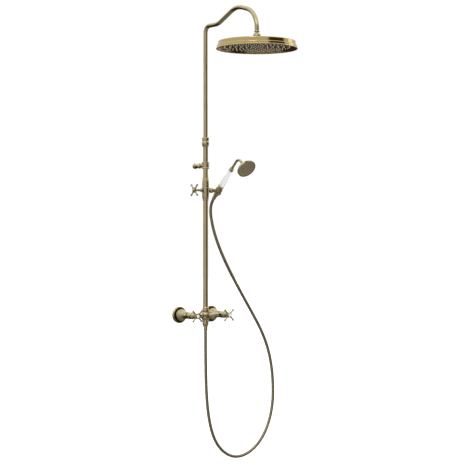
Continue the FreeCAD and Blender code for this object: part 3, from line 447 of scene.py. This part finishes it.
def finishes(settings):
    """One material for each slot of the record, made once."""
    if "Old brass" not in bpy.data.materials:
        tarnish_and_shade = tuple(settings.tarnish_and_shade)
        polish = settings.polish
        brass("Old brass", tuple(settings.brass), tarnish_and_shade, polish)
        brass("Machined brass", (0.55, 0.40, 0.16), tarnish_and_shade, 0.3, darkening=0.4)
        brass("Golden brass", tuple(settings.golden), tarnish_and_shade, polish, 9.0, 0.8)
        brass("Hose brass", tuple(settings.hose), (0.07, 0.05, 0.02), 0.26, 40.0, 1.0)
        brass("Dark screw", (0.12, 0.085, 0.04), (0.02, 0.015, 0.01), 0.35)
        # Painted shade: near-black brass that stands in for the shade on the nozzle plate under the
        # rain head.
        brass("Painted shade brass", (0.07, 0.055, 0.03), (0.01, 0.008, 0.005), 0.2)
        brass("Pale brass", (0.88, 0.84, 0.72), (0.45, 0.40, 0.28), 0.22, darkening=0.25)
        threaded("Threaded brass", (0.55, 0.40, 0.16), tarnish_and_shade, 0.075, 0.001814)
        glazed("Porcelain", tuple(settings.porcelain))
        moulded("Valve ceramic", (0.83, 0.83, 0.8), (0.76, 0.76, 0.73), 0.25)
        moulded("Nylon", (0.8, 0.79, 0.74), (0.7, 0.69, 0.63), 0.45)
        moulded("Red fibre", (0.3, 0.07, 0.05), (0.18, 0.04, 0.03), 0.8, 700.0)
        moulded("Seal rubber", (0.03, 0.03, 0.03), (0.012, 0.012, 0.012), 0.6)
    names = {
        "antique_brass": "Old brass",
        "raw_brass": "Machined brass",
        "nozzle_brass": "Pale brass",
        "hose_metal": "Hose brass",
        "porcelain": "Porcelain",
        "valve_ceramic": "Valve ceramic",
        "nylon": "Nylon",
        "fibre": "Red fibre",
        "seal_rubber": "Seal rubber",
        "dark_screw": "Dark screw",
    }
    return {slot: bpy.data.materials[name] for slot, name in names.items()}


# Parts whose finish differs from the rest of their metal. The nozzle plate's near-black brass is
# painted shade under the rain head.
SPECIAL_FINISHES = {
    "head_shell": "Golden brass",
    "head_rim": "Golden brass",
    "nozzle_plate": "Painted shade brass",
    "wall_connectors": "Threaded brass",
}


# ------------------------------------------------------------------ making pieces


def piece_from(bm, name, material, smooth=math.radians(35)):
    """A finished object from a bmesh, with its sharp edges kept sharp."""
    mesh = bpy.data.meshes.new(name)
    for face in bm.faces:
        face.smooth = True
    for edge in bm.edges:
        edge.smooth = not edge.is_manifold or edge.calc_face_angle(0) < smooth
    bm.to_mesh(mesh)
    bm.free()
    made = bpy.data.objects.new(name, mesh)
    bpy.context.scene.collection.objects.link(made)
    mesh.materials.append(material)
    return made


def turned(outline, steps=64, closed=True):
    """A bmesh turned about its own Z axis from an outline of (radius, height) points.

    An outline that isn't closed starts and ends on the axis.
    """
    bm = bmesh.new()
    verts = [bm.verts.new((radius, 0, height)) for radius, height in outline]
    pairs = list(zip(verts, verts[1:]))
    if closed:
        pairs.append((verts[-1], verts[0]))
    edges = [bm.edges.new(pair) for pair in pairs]
    bmesh.ops.spin(
        bm,
        geom=verts + edges,
        cent=(0, 0, 0),
        axis=(0, 0, 1),
        angle=2 * math.pi,
        steps=steps,
        use_merge=True,
    )
    bmesh.ops.remove_doubles(bm, verts=bm.verts, dist=1e-7)
    bmesh.ops.recalc_face_normals(bm, faces=bm.faces)
    return bm


# ------------------------------------------------------------------ the hose


def hose_line():
    """Points along the hose's smooth line, read from its spline."""
    curve = bpy.data.curves.new("hose_line", "CURVE")
    curve.dimensions = "3D"
    spline = curve.splines.new("NURBS")
    spline.points.add(len(HOSE_ROUTE) - 1)
    for point, place in zip(spline.points, HOSE_ROUTE):
        point.co = (*place, 1)
    spline.order_u = 3
    spline.use_endpoint_u = True
    spline.resolution_u = 48
    holder = bpy.data.objects.new("hose_line", curve)
    bpy.context.scene.collection.objects.link(holder)
    bpy.context.view_layer.update()
    mesh = bpy.data.meshes.new_from_object(holder)
    line = [vertex.co.copy() for vertex in mesh.vertices]
    bpy.data.meshes.remove(mesh)
    bpy.data.objects.remove(holder)
    bpy.data.curves.remove(curve)
    return line


class Line:
    """A line through points that can be read at any distance along it."""

    def __init__(self, points):
        self.points = points
        self.marks = [0.0]
        for before, after in zip(points, points[1:]):
            self.marks.append(self.marks[-1] + (after - before).length)
        self.length = self.marks[-1]

    def at(self, distance):
        """The point at a distance along the line."""
        low, high = 0, len(self.marks) - 1
        while high - low > 1:
            middle = (low + high) // 2
            if self.marks[middle] <= distance:
                low = middle
            else:
                high = middle
        share = (distance - self.marks[low]) / (self.marks[high] - self.marks[low])
        return self.points[low].lerp(self.points[high], max(0, min(1, share)))

    def crossings(self):
        """The directions across the line, carried along it without twist, at every turn step."""
        heading = Vector((0, 0, 1))
        turn = Quaternion()
        made = []
        for k in range(math.ceil(self.length / TURN_STEP) + 1):
            ahead = self.at(min(k * TURN_STEP + HEADING_REACH, self.length))
            behind = self.at(max(k * TURN_STEP - HEADING_REACH, 0))
            new_heading = (ahead - behind).normalized()
            turn = heading.rotation_difference(new_heading) @ turn
            heading = new_heading
            made.append((turn @ Vector((1, 0, 0)), turn @ Vector((0, 1, 0))))
        return made

    def bend(self, bm):
        """Lay a straight bmesh along the line, its own Z running with the distance."""
        crossings = self.crossings()
        for vert in bm.verts:
            distance = min(max(vert.co.z, 0), self.length)
            across, up = crossings[round(distance / TURN_STEP)]
            vert.co = self.at(distance) + vert.co.x * across + vert.co.y * up


# One ridge of the wound strip: (share of the pitch, share of the groove's depth).
RIDGE = ((0.0, 1.0), (0.14, 0.12), (0.3, 0.0), (0.7, 0.0), (0.86, 0.12))


def ridged_tube(line, start, end, sizes):
    """A rod bent along the line with a ridge at every turn of the wound strip."""
    pitch = sizes.ridge_pitch
    radius = sizes.diameter / 2
    outline = [(0, start)]
    for turn in range(round((end - start) / pitch)):
        for share, depth in RIDGE:
            outline.append((radius - depth * sizes.groove, start + (turn + share) * pitch))
    outline += [(radius - sizes.groove, end), (0, end)]
    bm = turned(outline, sizes.sides, closed=False)
    line.bend(bm)
    return bm


# The crimped sleeve at each end of the hose, from its mouth: (radius, distance), in metres.
SLEEVE = (
    (0.0061, 0),
    (0.0071, 0),
    (0.0076, 0.0005),
    (0.0076, 0.0030),
    (0.0071, 0.0034),
    (0.0071, 0.0046),
    (0.0076, 0.0050),
    (0.0076, 0.0080),
    (0.0071, 0.0084),
    (0.0071, 0.0096),
    (0.0076, 0.0100),
    (0.0076, 0.0122),
    (0.0070, 0.0130),
    (0.0061, 0.0130),
)


class SHOWER_OT_sleeves(Operator):
    """Crimp a sleeve over each end of the hose, against its nuts"""

    bl_idname = "shower.sleeves"
    bl_label = "Hose sleeves"

    def execute(self, context):
        material = finishes(context.scene.shower_finish)["antique_brass"]
        line = Line(hose_line())
        top = [(radius, line.length - distance) for radius, distance in SLEEVE]
        ends = (("hose_sleeve_low", "root", SLEEVE), ("hose_sleeve_top", "hand_shower", top))
        for name, body, outline in ends:
            bm = turned(outline, SLEEVE_SIDES)
            line.bend(bm)
            bmesh.ops.recalc_face_normals(bm, faces=bm.faces)
            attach(piece_from(bm, name, material), body)
        return {"FINISHED"}


class SHOWER_OT_hose(Operator):
    """Make the wound metal hose in five stretches, of which only the rise follows the slider sleeve
    """

    bl_idname = "shower.hose"
    bl_label = "Hose"

    def execute(self, context):
        sizes = context.scene.shower_hose
        material = finishes(context.scene.shower_finish)["hose_metal"]
        line = Line(hose_line())
        pitch = sizes.ridge_pitch
        total = line.length
        widest = max(range(len(line.points)), key=lambda k: line.points[k].x)
        cuts = [0, line.marks[widest], *(total - back for back in LAST_STRETCHES), total]
        cuts = [round(place / pitch) * pitch for place in cuts]
        cuts[-1] = total
        stretches = (
            ("hose_loop", "root", "slider_sleeve"),
            ("hose_rise", "slider_sleeve", None),
            ("hose_swing", "slider_sleeve", "slider"),
            ("hose_tilt", "slider", "holder"),
            ("hose_top", "holder", "hand_shower"),
        )
        for (name, body, next_body), start, end in zip(stretches, cuts, cuts[1:]):
            made = piece_from(ridged_tube(line, start, end, sizes), name, material)
            if name == "hose_loop":
                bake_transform(made)
                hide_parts("hose_tube")
            elif next_body:
                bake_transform(made)
            else:
                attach(made, body)
        return {"FINISHED"}


# ------------------------------------------------------------------ finishes


class SHOWER_OT_finishes(Operator):
    """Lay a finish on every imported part"""

    bl_idname = "shower.finishes"
    bl_label = "Finishes"

    def execute(self, context):
        laid = finishes(context.scene.shower_finish)
        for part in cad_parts.values():
            for holder in part.material_slots:
                holder.material = laid[holder.material.name]
        for name, finish in SPECIAL_FINISHES.items():
            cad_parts[name].material_slots[0].material = bpy.data.materials[finish]
        return {"FINISHED"}


# ------------------------------------------------------------------ stage


class SHOWER_OT_stage(Operator):
    """Set the pale floor, the white surround with its dark gap, the lights and the camera"""

    bl_idname = "shower.stage"
    bl_label = "Stage"

    def execute(self, context):
        scene = context.scene
        sizes = scene.shower_stage
        scene.view_settings.view_transform = "Standard"
        self.floor(sizes)
        self.surround(scene, sizes)
        self.lamps()
        self.camera(scene)
        return {"FINISHED"}

    def floor(self, sizes):
        """A wide pale floor that the metal doesn't mirror."""
        bm = bmesh.new()
        bmesh.ops.create_grid(bm, x_segments=8, y_segments=8, size=FLOOR_REACH)
        bmesh.ops.translate(bm, verts=bm.verts, vec=(0, 0, sizes.floor_height))
        mesh = bpy.data.meshes.new("studio_floor")
        bm.to_mesh(mesh)
        bm.free()
        floor = bpy.data.objects.new("studio_floor", mesh)
        bpy.context.scene.collection.objects.link(floor)
        made, tree, shader = new_material("Studio floor")
        place = add_node(tree, "TexCoord").outputs["Object"]
        cloud = add_node(tree, "TexNoise", {"Vector": place}, Scale=2.0, Detail=2.0)
        tone = mixed(tree, cloud.outputs["Fac"], (0.8, 0.8, 0.8), (0.83, 0.83, 0.83))
        tree.links.new(tone, shader.inputs["Base Color"])
        shader.inputs["Roughness"].default_value = 0.9
        shader.inputs["Emission Color"].default_value = (1, 1, 1, 1)
        shader.inputs["Emission Strength"].default_value = 0.3
        mesh.materials.append(made)
        floor.visible_glossy = False

    def surround(self, scene, sizes):
        """White for the camera; for the metal brighter overhead, dark in front and low behind."""
        world = bpy.data.worlds.new("Studio")
        scene.world = world
        world.use_nodes = True
        tree = world.node_tree
        tree.nodes.clear()
        way = add_node(tree, "TexCoord").outputs["Generated"]
        parts = add_node(tree, "SeparateXYZ", {"Vector": way}).outputs
        facing = add_node(tree, "VectorMath", {0: way}, operation="DOT_PRODUCT")
        facing.inputs[1].default_value = GAP_WAY
        upright = ramp(tree, facing.outputs["Value"], (0.85, 0), (0.92, 1))
        not_high = ramp(tree, parts["Z"], (0.25, 1), (0.5, 0))
        low = ramp(tree, mathed(tree, "MULTIPLY", parts["Z"], -1), (0.03, 0), (0.09, 1))
        behind = ramp(tree, parts["Y"], (0.35, 0), (0.6, 1))
        in_front = mathed(tree, "MULTIPLY", upright, not_high)
        dark = mathed(tree, "MAXIMUM", in_front, mathed(tree, "MULTIPLY", low, behind))
        height = mathed(tree, "MULTIPLY_ADD", parts["Z"], 0.5, 0.5)
        tone = ramp(tree, height, (0.2, 0.26), (0.42, 0.56), (0.62, 0.6), (0.8, 1))
        seen = mixed(tree, dark, tone, tuple(sizes.gap))
        studio = add_node(tree, "Background", {"Color": seen}, Strength=sizes.light)
        plain = add_node(tree, "Background", Color=(1, 1, 1, 1), Strength=1.05)
        ray = add_node(tree, "LightPath").outputs["Is Camera Ray"]
        both = tree.nodes.new("ShaderNodeMixShader")
        tree.links.new(ray, both.inputs["Fac"])
        tree.links.new(studio.outputs[0], both.inputs[1])
        tree.links.new(plain.outputs[0], both.inputs[2])
        output = tree.nodes.new("ShaderNodeOutputWorld")
        tree.links.new(both.outputs[0], output.inputs["Surface"])

    def lamps(self):
        """Two soft lamps that give the metal its small highlights."""
        aim = (CAD_BOX[0] + CAD_BOX[1]) / 2
        for name, place, size, power in (
            ("key_light", (-2.6, -2.4, 3.0), 1.2, 16),
            ("fill_light", (3.2, -1.2, 1.8), 1.4, 6),
        ):
            light = bpy.data.lights.new(name, "AREA")
            light.size = size
            light.energy = power
            lamp = bpy.data.objects.new(name, light)
            lamp.location = place
            lamp.rotation_euler = (aim - Vector(place)).to_track_quat("-Z", "Y").to_euler()
            bpy.context.scene.collection.objects.link(lamp)

    def camera(self, scene):
        """A long lens, level, from the front left."""
        lens = bpy.data.cameras.new("front_left")
        lens.sensor_width = 36
        lens.lens = 108.6
        lens.shift_x = 0.001
        lens.shift_y = 0.0065
        lens.clip_end = 200
        view = bpy.data.objects.new("front_left", lens)
        view.location = (-3.1608, -4.4326, 0.3077)
        view.rotation_euler = (math.radians(90), 0, math.radians(-37))
        scene.collection.objects.link(view)
        scene.camera = view


# ------------------------------------------------------------------ panel and running


class SHOWER_PT_column(Panel):
    """The shower column's pieces and settings"""

    bl_idname = "SHOWER_PT_column"
    bl_label = "Shower Column"
    bl_space_type = "VIEW_3D"
    bl_region_type = "UI"
    bl_category = "Shower"

    def draw(self, context):
        layout = self.layout
        for holder in ("shower_finish", "shower_hose", "shower_stage"):
            settings = getattr(context.scene, holder)
            box = layout.box()
            for name in settings.__annotations__:
                box.prop(settings, name)
        for step in STEPS:
            layout.operator(step.bl_idname)


STEPS = (SHOWER_OT_finishes, SHOWER_OT_sleeves, SHOWER_OT_hose, SHOWER_OT_stage)
SETTINGS = {
    "shower_finish": ShowerFinish,
    "shower_hose": ShowerHose,
    "shower_stage": ShowerStage,
}


def register():
    for kind in (*SETTINGS.values(), *STEPS, SHOWER_PT_column):
        bpy.utils.register_class(kind)
    for name, kind in SETTINGS.items():
        setattr(bpy.types.Scene, name, PointerProperty(type=kind))


def unregister():
    for name in SETTINGS:
        delattr(bpy.types.Scene, name)
    for kind in (SHOWER_PT_column, *reversed(STEPS), *SETTINGS.values()):
        bpy.utils.unregister_class(kind)


def main():
    register()
    for step in STEPS:
        family, name = step.bl_idname.split(".")
        getattr(getattr(bpy.ops, family), name)()


if __name__ == "__main__":
    main()
